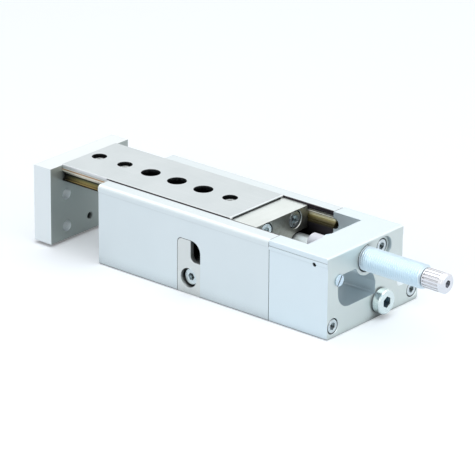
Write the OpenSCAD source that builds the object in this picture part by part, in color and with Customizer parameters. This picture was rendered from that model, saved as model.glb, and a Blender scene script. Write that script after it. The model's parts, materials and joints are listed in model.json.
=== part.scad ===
// Pneumatic slide table with a yoke plate, ball guides and a rear shock absorber.
// Frame: +Z up, base plane at z = 0, y = 0 on the centre line of the slide, x = 0 in the
// middle of the housing body.  The yoke is at -X and the shock absorber at +X.

/* [Housing] */
// Length of the housing body, front face to rear cap
body_len = 127; // [126:0.5:134]
// Width of the housing above the side flange
body_w = 67; // [66:0.5:72]
// Height of the housing above its base plane
body_h = 48.5; // [48:0.25:49]
// Thickness of the two side walls beside the slide
wall_t = 9.85; // [9:0.05:10.5]
// Width that the low side flange adds on the +Y side
flange_w = 14.4; // [13:0.1:20]
// Height of the low side flange
flange_h = 12.5; // [12.5:0.5:16]
// Height of the floor below the stop block
floor_h = 15; // [13:0.5:16]
// Radius along the outer top edges
edge_r = 2.2; // [1:0.1:3]

/* [Rear cap] */
// Length of the rear cap
cap_len = 42; // [41:0.5:50]
// Radius along the cap's top edges
cap_edge_r = 0.5; // [0.3:0.1:2]
// Width and depth of the line where the cap meets the body
joint_line = 0.35; // [0.2:0.05:0.5]
// Thickness of the end wall that holds the shock absorber
end_wall = 22; // [20:0.5:24]

/* [Slide] */
// Length of the slide table
slide_len = 127.5; // [127:0.5:130]
// Thickness of the slide table
slide_t = 10.2; // [10:0.1:10.4]
// Height of the slide's top face above the base plane
slide_top = 49.2; // [49:0.1:49.6]
// Pitch of the row of holes along the slide
hole_pitch = 20; // [19:0.5:20.5]
// Diameter of the centring bores
centring_d = 9; // [8:0.1:10]
// Diameter of the access holes
access_d = 11.5; // [10:0.1:12]
// Gap between each side of the slide and its wall
side_gap = 0.25; // [0.2:0.01:0.3]

/* [Stroke] */
// Nominal stroke
stroke = 50; // [46:1:50]
// How far the slide stands advanced from its closed position
advance = 36.6; // [34:0.1:37]
// Gap left between yoke and housing when the slide is closed
closed_gap = 0.5; // [0.3:0.1:1]

/* [Stop block] */
// Length of the block behind the slide
block_len = 18; // [16:0.5:18.5]
// Height of the block's top face
block_top = 47.6; // [47:0.1:48]
// Height of the block's lower face
block_bottom = 20; // [18:0.5:24]

/* [Yoke] */
// Thickness of the yoke plate
yoke_t = 13.8; // [13:0.1:16]
// Clearance below the yoke plate
yoke_bottom = 1.7; // [1:0.1:3]
// Spacing of the yoke's threaded holes across the slide
yoke_hole_dy = 40; // [36:1:44]
// Spacing of the yoke's threaded holes in height
yoke_hole_dz = 20; // [18:1:22]

/* [Guide] */
// Ball diameter
ball_d = 4; // [3.5:0.1:4.2]
// Height of the ball tracks above the base plane
guide_z = 42; // [41.6:0.1:42.4]
// Pitch of the balls in their cage
ball_pitch = 6; // [5:0.5:7]
// Balls in each cage
ball_count = 12; // [8:1:12]

/* [Cylinder] */
// Bore of the drive cylinder
bore_d = 12; // [11:0.5:12.5]
// Diameter of the piston rod
rod_d = 6; // [5:0.5:6]
// Outer diameter of the round cylinder wall
barrel_d = 15; // [15:0.5:16]
// Place of the cylinder across the slide
cyl_y = 15.3; // [15:0.1:15.5]
// Height of the cylinder
cyl_z = 25.5; // [25:0.1:26]

/* [Shock absorber] */
// Outside diameter of the fine thread
absorber_d = 14; // [13:0.5:14.5]
// Place of the shock absorber across the slide
absorber_y = 1; // [0:0.1:1.5]
// Height of the shock absorber
absorber_z = 38.4; // [37.8:0.1:38.6]
// Length of body that stands out behind the cap
absorber_out = 41; // [20:0.5:45]
// How far the body reaches into the bay
absorber_in = 7.5; // [6:0.5:9]
// Diameter of the adjuster
adjuster_d = 11.5; // [10:0.5:12.5]
// Length of the adjuster
adjuster_len = 15; // [12:0.5:22]
// Travel of the plunger
plunger_travel = 9.5; // [6:0.5:10]

/* [Hidden] */

$fn = 48;
eps = 0.01;
// Radial clearance between a pin or thread and its hole
fit_gap = 0.02;

// Named places along x
x_front = -body_len / 2;
x_seam = body_len / 2;
x_rear = x_seam + cap_len;
x_bay = x_rear - end_wall;
x_yoke = x_front - closed_gap - advance;
x_slide_end = x_yoke + slide_len;
x_block_end = x_slide_end + block_len;
open_travel = stroke - advance;
first_hole = 7.8;
function hole_x(i) = x_yoke + first_hole + i * hole_pitch;
x_stop = x_slide_end - open_travel;
buffer_out = 7.4;
x_pit = x_stop - buffer_out;
// Gap between the stop block and the cylinder wall
barrel_gap = 1.1;

// Named places across and in height
y_out = body_w / 2;
y_in = y_out - wall_t;
y_flange = y_out + flange_w;
slide_half = y_in - side_gap;
z_under = slide_top - slide_t;
z_channel = z_under - 0.4;
track_y = (y_in + slide_half) / 2;
side_step = 0.4;
// Rebate above the flange: its inner face, its top and the radius of its inner corner
rebate_y = 28.7;
rebate_top = 20;
rebate_r = 3;
band_z = 44.4;

// Guide rails let into the walls
rail_depth = 5;
rail_half_h = 4.2;
rail_top = 44.6;
rail_groove = 3;
runout_z = 41.3;
runout_r = 3.2;
track_r = ball_d / 2 + 0.05;
cage_t = 1;
cage_h = 5;
relief = 0.7;
relief_h = 5.8;
cage_len = (ball_count - 1) * ball_pitch + 7;
cage_x = (x_front + x_slide_end) / 2;

// Air passages and the rear port
port_z = 6.3;
port_r = 2.5;
air_r = 1.5;
air_gap = 4.5;
rear_port = [13, 9.8];
rear_port_r = 4.9;
sensor_slot_z = [23, 30.5];

// Cylinder
gland_len = 14;
gland_d = 14;
piston_len = 10;
x_piston = x_front + gland_len + open_travel + 1;
chamber_end = x_piston + piston_len + advance + air_gap;
port_x = [x_front + gland_len + 2.5, chamber_end - 2];

// Threads are plain cylinders at their outside diameter: radius, head radius, head height
m5 = [2.5, 4.25, 5];
m6 = [3, 5, 6];
m4 = [2, 3.5, 4];
cap_screw_yz = [[-28.1, 6.9], [42.6, 6.9]];
lock_screw_yz = [16.7, 40.4];
slot_screw_yz = [-23.6, 33];
set_screw_x = x_rear - 9.6;
set_screw_z = 42.6;
block_screw_y = 12.6;
block_screw_z = 42;
yoke_screw_y = 14;
yoke_screw_z = 43;
dowel_y = 6;
dowel_r = 2;
rail_dowel_x = [-50, -20, 10, 38];
rail_dowel_r = 1.5;

// Rear cap: side step, thin line above it and the recess in its rear face
cap_step_z = 42.9;
cap_line_z = [45, 45.5];
recess_depth = 2;
recess_r = 6.3;
rim_t = 2.8;
hole_rim = 1;

// Side plate in the near wall, in x: left edge, edge of its tongue, right edge
plate_x = [-3.3, 6.3, 13.5];
plate_step_z = 20;
plate_top = 32.5;
plate_screw = [4.9, 9.7];
plate_gap = 0.3;
tongue_t = 3;
buffer_yz = [-14, 27];
buffer_d = 8;

// Shock absorber and rear port
x_abs_in = x_bay - absorber_in;
x_abs_out = x_rear + absorber_out;
bumper_r = 5;
bumper_len = 10;
bumper_out = plunger_travel + 0.2;
rod_r = 2;
rod_len = 26;
plug_out = 5.5;
plug_r = 7.25;
washer_t = 1;
piston_seal_x = [1.2, 7.2];

// A profile in (y, z) extruded from x0 to x1
module along_x(x0, x1) {
    translate([x0, 0, 0]) rotate([90, 0, 90]) linear_extrude(x1 - x0) children();
}
// A profile in (x, z) extruded from y0 to y1
module along_y(y0, y1) {
    translate([0, y1, 0]) rotate([90, 0, 0]) linear_extrude(y1 - y0) children();
}
// Round bars along the three axes
module bar_x(x0, x1, y, z, r) {
    translate([x0, y, z]) rotate([0, 90, 0]) cylinder(h = x1 - x0, r = r);
}
module bar_y(y0, y1, x, z, r) {
    translate([x, y0, z]) rotate([-90, 0, 0]) cylinder(h = y1 - y0, r = r);
}
module bar_z(z0, z1, x, y, r) {
    translate([x, y, z0]) cylinder(h = z1 - z0, r = r);
}
module box(x0, x1, y0, y1, z0, z1) {
    translate([x0, y0, z0]) cube([x1 - x0, y1 - y0, z1 - z0]);
}
// Rectangle in (y, z) between two corners
module rect(y0, z0, y1, z1) {
    translate([y0, z0]) square([y1 - y0, z1 - z0]);
}
// What a round of radius r takes off the outer corner at (y, z); sy and sz point outwards
module corner_cut(y, z, r, sy, sz) {
    difference() {
        translate([y - (sy > 0 ? r : eps), z - (sz > 0 ? r : eps)]) square(r + eps);
        translate([y - sy * r, z - sz * r]) circle(r);
    }
}
// Socket head screw; its head's top is at the origin and it points along +Z
module socket_screw(size, len) {
    socket_af = size[2] * 0.8;
    difference() {
        union() {
            difference() {
                cylinder(h = size[2], r = size[1]);
                difference() {
                    translate([0, 0, -eps]) cylinder(h = 0.4, r = size[1] + 1);
                    translate([0, 0, -2 * eps]) cylinder(h = 0.5, r1 = size[1] - 0.4, r2 = size[1]);
                }
            }
            translate([0, 0, size[2]]) cylinder(h = len, r = size[0]);
        }
        translate([0, 0, -eps]) cylinder(h = size[2] * 0.6, d = socket_af / cos(30), $fn = 6);
    }
}
// The same screw with its head's top at x, pointing along +X or -X
module screw_x(x, y, z, size, len, dir = 1) {
    translate([x, y, z]) rotate([0, dir * 90, 0]) socket_screw(size, len);
}
// The counterbore and threaded hole that take such a screw
module screw_hole_x(x, y, z, size, sink, len, dir = 1) {
    gap = 0.4;
    rim = 0.3;
    translate([x, y, z]) rotate([0, dir * 90, 0]) {
        translate([0, 0, -eps]) cylinder(h = sink + eps, r = size[1] + gap);
        translate([0, 0, -eps]) cylinder(h = rim + eps, r1 = size[1] + gap + rim, r2 = size[1] + gap);
        cylinder(h = sink + len, r = size[0] + fit_gap);
    }
}

// ---- Profiles in (y, z) --------------------------------------------------------------

// Outer outline shared by the body and the rear cap; step_z is the height of the side step
// and top_r rounds the two top edges
module shell_outline(step_z, top_r) {
    difference() {
        union() {
            rect(-y_out, 0, y_out, body_h);
            rect(0, 0, y_flange, flange_h);
        }
        corner_cut(-y_out, body_h, top_r, -1, 1);
        corner_cut(y_out, body_h, top_r, 1, 1);
        corner_cut(-y_out + side_step, 0, 0.5, -1, -1);
        corner_cut(y_flange, flange_h, 1.5, 1, 1);
        corner_cut(y_flange, 0, 2, 1, -1);
        rect(-y_out - 1, -1, -y_out + side_step, step_z);
        rect(y_out - side_step, flange_h, y_out + 1, step_z);
        difference() {
            rect(rebate_y, flange_h, y_out + 1, rebate_top);
            corner_cut(rebate_y, flange_h, rebate_r, -1, -1);
        }
    }
}
// Round cylinder wall that stands on the floor against the far wall
module barrel_outline() {
    translate([cyl_y, cyl_z]) circle(barrel_d / 2);
    rect(cyl_y - 6.1, floor_h - 1, y_in + 1, cyl_z);
    rect(cyl_y, cyl_z - 1, y_in + 1, cyl_z + 3);
}
// Room for the lower part of the stop block, beside the cylinder
module pit_outline() {
    difference() {
        rect(-y_in, floor_h, y_in, z_channel + 1);
        barrel_outline();
    }
}
// Sensor slot: a narrow mouth in front of a round groove
module sensor_slot(z) {
    rect(y_out - side_step - 2, z - 1.3, y_out + 1, z + 1.3);
    translate([y_out - side_step - 3, z]) circle(2.1);
}
// The wall pocket of one guide rail, on the +Y side, with an open groove above the rail
module rail_pocket() {
    rect(y_in - 1, guide_z - rail_half_h, y_in + rail_depth, rail_top);
    rect(y_in - 1, rail_top - 1, y_in + rail_groove, guide_z + rail_half_h);
}
module rail_outline() {
    difference() {
        rect(y_in, guide_z - rail_half_h, y_in + rail_depth, rail_top);
        rect(y_in - 1, guide_z - relief_h / 2, y_in + relief, rail_top + 1);
        translate([track_y, guide_z]) circle(track_r);
    }
}
module slide_outline() {
    difference() {
        rect(-slide_half, z_under, slide_half, slide_top);
        for (s = [-1, 1]) scale([s, 1]) {
            rect(slide_half - relief, guide_z - relief_h / 2, y_in, guide_z + relief_h / 2);
            translate([track_y, guide_z]) circle(track_r);
            rect(slide_half - 0.5, slide_top - 2.3, y_in, slide_top - 1.8);
            translate([slide_half, slide_top]) rotate(45) square(0.6, center = true);
        }
        rect(-slide_half + 6, z_under - 1, slide_half - 6, z_under + 0.5);
    }
}

// ---- Fixed parts ---------------------------------------------------------------------

// Milled slot through the near wall with two different round upper corners
module side_slot_outline(slack) {
    r = [3, 7];
    difference() {
        translate([plate_x[0] - slack, -1])
            square([plate_x[2] - plate_x[0] + slack + fit_gap, plate_top + 1 + slack]);
        translate([plate_x[0] - slack - eps, plate_top + slack - r[0]]) difference() {
            square([r[0] + eps, r[0] + 1]);
            translate([r[0], 0]) circle(r[0]);
        }
        translate([plate_x[2] + fit_gap - r[1], plate_top + slack - r[1]]) difference() {
            square([r[1] + eps, r[1] + 1]);
            circle(r[1]);
        }
    }
}

module housing() color("#D9E2E8") difference() {
    along_x(x_front, x_seam) difference() {
        shell_outline(band_z, edge_r);
        rect(-y_in, z_channel, y_in, body_h + 1);
        rail_pocket();
        scale([-1, 1]) rail_pocket();
        for (z = sensor_slot_z) sensor_slot(z);
    }
    along_x(x_pit, x_seam + 1) pit_outline();
    along_y(-y_out - 1, -y_in + 1) side_slot_outline(plate_gap);
    box(plate_x[0], x_pit + 1, -y_in, -y_in + 3.5, floor_h, plate_top - 3);
    bar_x(x_pit - 4, x_pit + 1, buffer_yz[0], buffer_yz[1], buffer_d / 2);
    // Cylinder bore with the gland seat at the front
    bar_x(x_front - 1, x_seam + 1, cyl_y, cyl_z, bore_d / 2);
    bar_x(x_front - 1, x_front + gland_len, cyl_y, cyl_z, gland_d / 2);
    bar_x(x_front + 1.2, x_front + 2.5, cyl_y, cyl_z, gland_d / 2 + 0.8);
    // Supply ports in the flange and their passages up to the cylinder
    for (x = port_x) {
        bar_y(y_flange - 8, y_flange + 1, x, port_z, port_r);
        bar_y(y_flange - 1.2, y_flange + 1, x, port_z, 4.5);
        bar_y(12, y_flange, x, port_z, air_r);
        bar_z(port_z, cyl_z, x, cyl_y, air_r);
    }
    bar_x(port_x[1], x_seam + 1, rear_port[0], rear_port[1], air_r);
    // Mounting holes in the base
    for (x = [-30, 30], y = [-20, 20]) bar_z(-1, 10, x, y, m6[0]);
    for (x = [-30, 30]) bar_z(-1, 2.1, x, -20, centring_d / 2);
    // Mounting holes through the front part, reached through the slide
    for (i = [2, 3, 4]) {
        bar_z(-1, z_channel + 1, hole_x(i), 0, 3.3);
        bar_z(z_channel - 12, z_channel + 1, hole_x(i), 0, access_d / 2);
    }
    bar_y(-y_in - 1, -10, plate_screw[0], plate_screw[1], m6[0]);
    for (x = rail_dowel_x) {
        bar_y(-y_out + 2, -y_in, x, guide_z, rail_dowel_r + fit_gap);
        bar_y(y_in, y_out - 2, x, guide_z, rail_dowel_r + fit_gap);
    }
    for (c = cap_screw_yz) bar_x(x_seam - 14, x_seam + 1, c[0], c[1], m5[0]);
}

// Window through the end wall beside the shock absorber
module window_outline() {
    left = -24.1;
    right = 9.2;
    top = 35.3;
    r = 10;
    difference() {
        polygon([[left, floor_h], [right, floor_h], [right, 22.2], [6.8, 27.6], [6.8, top], [left, top]]);
        corner_cut(left, floor_h, r, -1, -1);
        corner_cut(right, floor_h, 1, 1, -1);
        // Rings of wall left round the absorber and the clamp screw
        translate([absorber_y, absorber_z]) circle(absorber_d / 2 + rim_t);
        translate(slot_screw_yz) circle(3.8);
    }
}

module rear_cap() color("#D5DBE2") difference() {
    along_x(x_seam, x_rear) shell_outline(cap_step_z, cap_edge_r);
    // Joint line round the edge that meets the body
    along_x(x_seam - 1, x_seam + joint_line) difference() {
        offset(delta = 2) shell_outline(cap_step_z, cap_edge_r);
        offset(delta = -joint_line) shell_outline(cap_step_z, cap_edge_r);
    }
    // Thin line above the side step
    box(x_seam - 1, x_rear + 1, -y_out - 1, -y_out + 0.25, cap_line_z[0], cap_line_z[1]);
    box(x_seam - 1, x_rear + 1, y_out - 0.25, y_out + 1, cap_line_z[0], cap_line_z[1]);
    // Chamfer along the rear top edge
    translate([x_rear, 0, body_h]) rotate([0, 45, 0]) cube([1.1, body_w + 2, 1.1], center = true);
    // Bay that the stop block enters
    along_x(x_seam - 1, x_bay) difference() {
        rect(-y_in, floor_h, y_in - 0.1, body_h + 1);
        barrel_outline();
    }
    // Round runout behind the end of each rail
    bar_y(y_in - 1, y_in + rail_depth, x_seam + 0.6, runout_z, runout_r);
    bar_y(-y_in - rail_depth, -y_in + 1, x_seam + 0.6, runout_z, runout_r);
    along_x(x_bay - 1, x_rear + 1) window_outline();
    bar_x(x_bay - 1, x_rear + 1, absorber_y, absorber_z, absorber_d / 2 + fit_gap);
    translate([x_rear - hole_rim, absorber_y, absorber_z]) rotate([0, 90, 0])
        cylinder(h = hole_rim + eps, r1 = absorber_d / 2, r2 = absorber_d / 2 + hole_rim);
    // Two long screws hold the cap to the body, and a short one locks the absorber
    for (c = cap_screw_yz) screw_hole_x(x_rear, c[0], c[1], m5, 5.2, cap_len, -1);
    screw_hole_x(x_rear, lock_screw_yz[0], lock_screw_yz[1], m5, 7, 11, -1);
    // Shallow milled recess from the absorber to its round end about the lock screw
    along_x(x_rear - recess_depth, x_rear + 1) {
        translate(lock_screw_yz) circle(recess_r);
        polygon([[absorber_y - 0.5, lock_screw_yz[1] + recess_r + 0.15],
            lock_screw_yz + [0, recess_r], lock_screw_yz - [0, recess_r],
            [absorber_y + 5, absorber_z - absorber_d / 2]]);
    }
    // Rear port
    bar_x(x_rear - 10, x_rear + 1, rear_port[0], rear_port[1], rear_port_r);
    bar_x(x_seam - 1, x_rear, rear_port[0], rear_port[1], air_r);
    // Slotted screw beside the window, and the set screw in the side
    bar_x(x_rear - 14, x_rear + 1, slot_screw_yz[0], slot_screw_yz[1], 1.5 + fit_gap);
    bar_y(-y_out - 1, -y_out + 9.2, set_screw_x, set_screw_z, 1.25);
}

module rear_cap_screws() color("#B9C0C4") for (c = cap_screw_yz)
    screw_x(x_rear - 0.2, c[0], c[1], m5, cap_len + 7, -1);

module absorber_lock_screw() color("#B9C0C4")
    screw_x(x_rear - recess_depth, lock_screw_yz[0], lock_screw_yz[1], m5, 10.5, -1);

module slotted_screw() color("#E4E8EA") difference() {
    head_t = 0.9;
    tilt = -34;
    union() {
        bar_x(x_rear, x_rear + head_t, slot_screw_yz[0], slot_screw_yz[1], 3.4);
        bar_x(x_rear - 12, x_rear + 0.5, slot_screw_yz[0], slot_screw_yz[1], 1.5);
    }
    translate([x_rear + head_t, slot_screw_yz[0], slot_screw_yz[1]]) rotate([tilt, 0, 0])
        cube([1.4, 0.9, 8], center = true);
}

module cap_set_screw() color("#4A4E52") difference() {
    bar_y(-y_out + 1.4, -y_out + 9, set_screw_x, set_screw_z, 1.23);
    translate([set_screw_x, -y_out + 1.3, set_screw_z]) rotate([-90, 0, 0])
        cylinder(h = 1.3, d = 1.4, $fn = 6);
}

module guide_rail(s) color("#B59A5C") difference() {
    along_x(x_front, x_seam) scale([s, 1]) rail_outline();
    for (x = rail_dowel_x) bar_y(-y_out, y_out, x, guide_z, rail_dowel_r + fit_gap);
}
module guide_rail_near() guide_rail(-1);
module guide_rail_far() guide_rail(1);

// Dowels that place the rails in their pockets; they end below the ball track
module rail_dowels() color("#8D9296") for (x = rail_dowel_x) {
    bar_y(track_y + track_r + 0.3, y_out - 2.2, x, guide_z, rail_dowel_r);
    bar_y(-y_out + 2.2, -track_y - track_r - 0.3, x, guide_z, rail_dowel_r);
}

// Bronze bush that guides the rod, with the seat of its lip seal
module rod_gland() color("#B08A4A") difference() {
    bar_x(x_front + 2.6, x_front + gland_len, cyl_y, cyl_z, gland_d / 2 - 0.02);
    bar_x(x_front, x_front + gland_len + 1, cyl_y, cyl_z, rod_d / 2 + 0.05);
    bar_x(x_front + 2, x_front + 5, cyl_y, cyl_z, rod_d / 2 + 2);
}

module rod_seal() color("#2B2B2B") difference() {
    bar_x(x_front + 2.7, x_front + 4.9, cyl_y, cyl_z, rod_d / 2 + 1.98);
    bar_x(x_front + 2, x_front + 6, cyl_y, cyl_z, rod_d / 2 + 0.03);
}

module gland_retaining_ring() color("#3C4044") difference() {
    bar_x(x_front + 1.25, x_front + 2.45, cyl_y, cyl_z, gland_d / 2 + 0.75);
    bar_x(x_front, x_front + 4, cyl_y, cyl_z, gland_d / 2 - 1);
    box(x_front, x_front + 4, cyl_y - 1.5, cyl_y + 1.5, cyl_z, cyl_z + 12);
}

// Long plug that closes the cylinder and is clamped by the rear cap
module cylinder_end_plug() color("#C9CDD0") difference() {
    bar_x(chamber_end, x_seam, cyl_y, cyl_z, bore_d / 2 - 0.02);
    difference() {
        bar_x(chamber_end + 3, chamber_end + 5, cyl_y, cyl_z, bore_d / 2 + 1);
        bar_x(chamber_end, chamber_end + 7, cyl_y, cyl_z, bore_d / 2 - 1.5);
    }
    bar_x(chamber_end + 10, x_seam + 1, cyl_y, cyl_z, 3);
}

module end_plug_o_ring() color("#222222") difference() {
    bar_x(chamber_end + 3.1, chamber_end + 4.9, cyl_y, cyl_z, bore_d / 2 - 0.02);
    bar_x(chamber_end, chamber_end + 7, cyl_y, cyl_z, bore_d / 2 - 1.48);
}

// Tongue above the foot of the side plate, with a round corner where the two meet
module tongue_outline() {
    r = 3.5;
    along_y(-y_out, -y_in) difference() {
        translate([plate_x[0] - 1, plate_step_z - 1])
            square([plate_x[1] - plate_x[0] + 1 + r, plate_top + 2 - plate_step_z]);
        translate([plate_x[1], plate_step_z + r]) square([r + 1, plate_top]);
        translate([plate_x[1] + r, plate_step_z + r]) circle(r);
    }
}
// Plate let into the near wall: a thick foot with a screw and a thin tongue above it
module side_plate() color("#D3D8D6") difference() {
    union() {
        intersection() {
            along_y(-y_out + side_step, -y_in - 0.1) side_slot_outline(0);
            box(plate_x[0] - 1, plate_x[2] + 1, -y_out, -y_in, 0, plate_step_z);
        }
        intersection() {
            along_y(-y_out + side_step, -y_out + side_step + tongue_t) side_slot_outline(0);
            tongue_outline();
        }
    }
    translate([plate_screw[0], -y_out, plate_screw[1]]) rotate([-90, 0, 0]) {
        translate([0, 0, -1]) cylinder(h = 1 + 2.9 + m5[2], r = 5.8);
        cylinder(h = 12, r = m6[0] + fit_gap);
    }
}

module side_plate_screw() color("#C6D0D2")
    translate([plate_screw[0], -y_out + 2.9, plate_screw[1]]) rotate([-90, 0, 0])
        socket_screw([m6[0], m6[1], m5[2]], 14);

module stop_buffer() color("#26282A")
    bar_x(x_pit - 4, x_stop - 0.1, buffer_yz[0], buffer_yz[1], buffer_d / 2 - 0.02);

// ---- Shock absorber ------------------------------------------------------------------

// Threaded tube with chamfered ends and a guide bore for the plunger
module absorber_body() color("#D2E2EE") difference() {
    union() {
        bar_x(x_abs_in + 1, x_abs_out - 0.8, absorber_y, absorber_z, absorber_d / 2);
        translate([x_abs_in, absorber_y, absorber_z]) rotate([0, 90, 0])
            cylinder(h = 1.01, r1 = absorber_d / 2 - 1, r2 = absorber_d / 2);
        translate([x_abs_out - 0.81, absorber_y, absorber_z]) rotate([0, 90, 0])
            cylinder(h = 0.81, r1 = absorber_d / 2, r2 = absorber_d / 2 - 0.8);
    }
    bar_x(x_abs_in - 1, x_abs_in + bumper_len + 0.2, absorber_y, absorber_z, bumper_r + 0.2);
    bar_x(x_abs_in, x_abs_in + rod_len + bumper_len, absorber_y, absorber_z, rod_r + 0.05);
    bar_x(x_abs_out - 6, x_abs_out + 1, absorber_y, absorber_z, 4);
}

// Adjuster with slots along its side and a hexagon socket in its end
module adjuster_core() {
    r = adjuster_d / 2;
    translate([x_abs_out - 5.9, absorber_y, absorber_z]) rotate([0, 90, 0]) rotate_extrude()
        polygon([[0, 0], [3.98, 0], [3.98, 5.9], [r - 1, 5.9], [r - 1, 6.9], [r, 6.9],
            [r, 5.9 + adjuster_len - 0.8], [r - 0.8, 5.9 + adjuster_len], [0, 5.9 + adjuster_len]]);
}
module absorber_adjuster() color("#C9D6DE") difference() {
    adjuster_core();
    for (a = [0 : 20 : 340])
        translate([x_abs_out + 1.5, absorber_y, absorber_z]) rotate([a, 0, 0])
            translate([0, adjuster_d / 2, 0]) rotate([0, 90, 0])
                cylinder(h = adjuster_len - 4.5, r = 0.5, $fn = 24);
    translate([x_abs_out + adjuster_len - 5, absorber_y, absorber_z]) rotate([0, 90, 0])
        cylinder(h = 6, d = 4 / cos(30), $fn = 6);
}

module absorber_plunger() color("#C4C8CC")
    bar_x(x_abs_in - bumper_out + 4, x_abs_in + rod_len, absorber_y, absorber_z, rod_r);

module absorber_bumper() color("#E6E6EA") difference() {
    union() {
        bar_x(x_abs_in - bumper_out + 1, x_abs_in - bumper_out + bumper_len,
            absorber_y, absorber_z, bumper_r);
        translate([x_abs_in - bumper_out, absorber_y, absorber_z]) rotate([0, 90, 0])
            cylinder(h = 1.01, r1 = bumper_r - 0.8, r2 = bumper_r);
    }
    bar_x(x_abs_in - bumper_out + 4, x_abs_in + 20, absorber_y, absorber_z, rod_r);
}

// ---- Rear port ------------------------------------------------------------------------

module port_plug() color("#DDE6EA") difference() {
    translate([x_rear + washer_t, rear_port[0], rear_port[1]]) rotate([0, 90, 0]) rotate_extrude()
        polygon([[0, -9], [4.4, -9], [4.85, -8.5], [4.85, 0], [plug_r, 0],
            [plug_r, plug_out - washer_t - 0.6], [plug_r - 0.6, plug_out - washer_t],
            [0, plug_out - washer_t]]);
    translate([x_rear + plug_out - 4, rear_port[0], rear_port[1]]) rotate([0, 90, 0])
        cylinder(h = 5, d = 6 / cos(30), $fn = 6);
}

module port_plug_seal() color("#6B6F72") difference() {
    bar_x(x_rear, x_rear + washer_t, rear_port[0], rear_port[1], 6.8);
    bar_x(x_rear - 1, x_rear + 2, rear_port[0], rear_port[1], 4.9);
}

// ---- Moving parts: slide, block, yoke and piston ---------------------------------------

module slide_table() color("#D3D7DA") difference() {
    along_x(x_yoke, x_slide_end) slide_outline();
    for (i = [0, 1, 5]) {
        bar_z(z_under - 1, slide_top + 1, hole_x(i), 0, m6[0]);
        bar_z(slide_top - 2.1, slide_top + 1, hole_x(i), 0, centring_d / 2);
    }
    for (i = [2, 3, 4]) bar_z(z_under - 1, slide_top + 1, hole_x(i), 0, access_d / 2);
    for (s = [-1, 1]) {
        bar_x(x_yoke - 1, x_yoke + 12, s * yoke_screw_y, yoke_screw_z, m5[0] + fit_gap);
        bar_x(x_yoke - 1, x_yoke + 8, s * dowel_y, yoke_screw_z, dowel_r + fit_gap);
        bar_x(x_slide_end - 13, x_slide_end + 1, s * block_screw_y, block_screw_z, m6[0] + fit_gap);
    }
    // Chamfer along the rear top edge
    translate([x_slide_end, 0, slide_top]) rotate([0, 45, 0])
        cube([0.8, 2 * y_in, 0.8], center = true);
}

// Stop block: full width above, cut away round the cylinder wall below
module block_outline() {
    difference() {
        rect(-slide_half, block_bottom, slide_half, block_top);
        translate([cyl_y, cyl_z]) circle(barrel_d / 2 + barrel_gap);
        rect(cyl_y, block_bottom - 1, y_in, cyl_z + barrel_d / 2 + barrel_gap);
        rect(cyl_y - 7.1, block_bottom - 1, y_in, cyl_z);
        corner_cut(-slide_half, block_bottom, 3, -1, -1);
    }
}
module stop_block() color("#C9C8C2") difference() {
    along_x(x_slide_end, x_block_end) block_outline();
    for (s = [-1, 1]) screw_hole_x(x_block_end, s * block_screw_y, block_screw_z, m6, 6.6, block_len, -1);
    translate([x_slide_end, 0, block_top]) rotate([0, 45, 0])
        cube([0.6, 2 * y_in, 0.6], center = true);
}

module stop_block_screws() color("#B9C6C6") for (s = [-1, 1])
    screw_x(x_block_end - 0.5, s * block_screw_y, block_screw_z, m6, block_len + 4, -1);

module yoke_plate() color("#DDE4E8") difference() {
    box(x_yoke - yoke_t, x_yoke, -y_out, y_out, yoke_bottom, body_h);
    // Holes for the load, one place being taken by the rod, and a small hole on the centre line
    for (p = [[-1, 0], [-1, 1], [1, 0]])
        bar_x(x_yoke - yoke_t - 1, x_yoke + 1, p[0] * yoke_hole_dy / 2, 9.6 + p[1] * yoke_hole_dz, 3.5);
    bar_x(x_yoke - yoke_t - 1, x_yoke + 1, 0, 10, m5[0]);
    for (s = [-1, 1]) {
        screw_hole_x(x_yoke - yoke_t, s * yoke_screw_y, yoke_screw_z, m5, 5.3, yoke_t);
        bar_x(x_yoke - yoke_t - 1, x_yoke + 1, s * dowel_y, yoke_screw_z, dowel_r + fit_gap);
    }
    screw_hole_x(x_yoke - yoke_t, cyl_y, cyl_z, m4, 4.6, yoke_t);
    bar_x(x_yoke - 4, x_yoke + 1, cyl_y, cyl_z, rod_d / 2 + fit_gap);
    // Small chamfers round the front face
    for (s = [-1, 1]) translate([x_yoke - yoke_t, s * y_out, body_h / 2]) rotate([0, 0, 45])
        cube([1, 1, body_h], center = true);
    for (z = [yoke_bottom, body_h]) translate([x_yoke - yoke_t, 0, z]) rotate([0, 45, 0])
        cube([1, body_w + 1, 1], center = true);
}

module yoke_screws() color("#B9C0C4") for (s = [-1, 1])
    screw_x(x_yoke - yoke_t + 0.2, s * yoke_screw_y, yoke_screw_z, m5, yoke_t + 5);

module yoke_dowels() color("#9AA0A4") for (s = [-1, 1])
    bar_x(x_yoke - yoke_t + 4, x_yoke + 7.5, s * dowel_y, yoke_screw_z, dowel_r);

// Rod with a spigot in the yoke and a stepped end that carries the piston
module piston_rod() color("#D8DCDE") difference() {
    union() {
        bar_x(x_yoke - 4, x_piston, cyl_y, cyl_z, rod_d / 2);
        bar_x(x_piston - 1, x_piston + piston_len, cyl_y, cyl_z, 2);
    }
    bar_x(x_yoke - 5, x_yoke + 9, cyl_y, cyl_z, m4[0] + fit_gap);
}

module rod_screw() color("#B9C0C4")
    screw_x(x_yoke - yoke_t + 0.3, cyl_y, cyl_z, m4, 17);

module piston() color("#B7BCC0") difference() {
    bar_x(x_piston, x_piston + piston_len, cyl_y, cyl_z, bore_d / 2 - 0.1);
    bar_x(x_piston - 1, x_piston + piston_len + 1, cyl_y, cyl_z, 2.02);
    for (x = piston_seal_x) piston_groove(x, 1.6);
    piston_groove(3.8, 2.4);
}
module piston_groove(x, w) difference() {
    bar_x(x_piston + x, x_piston + x + w, cyl_y, cyl_z, bore_d / 2 + 1);
    bar_x(x_piston, x_piston + piston_len, cyl_y, cyl_z, 4.2);
}

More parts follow.
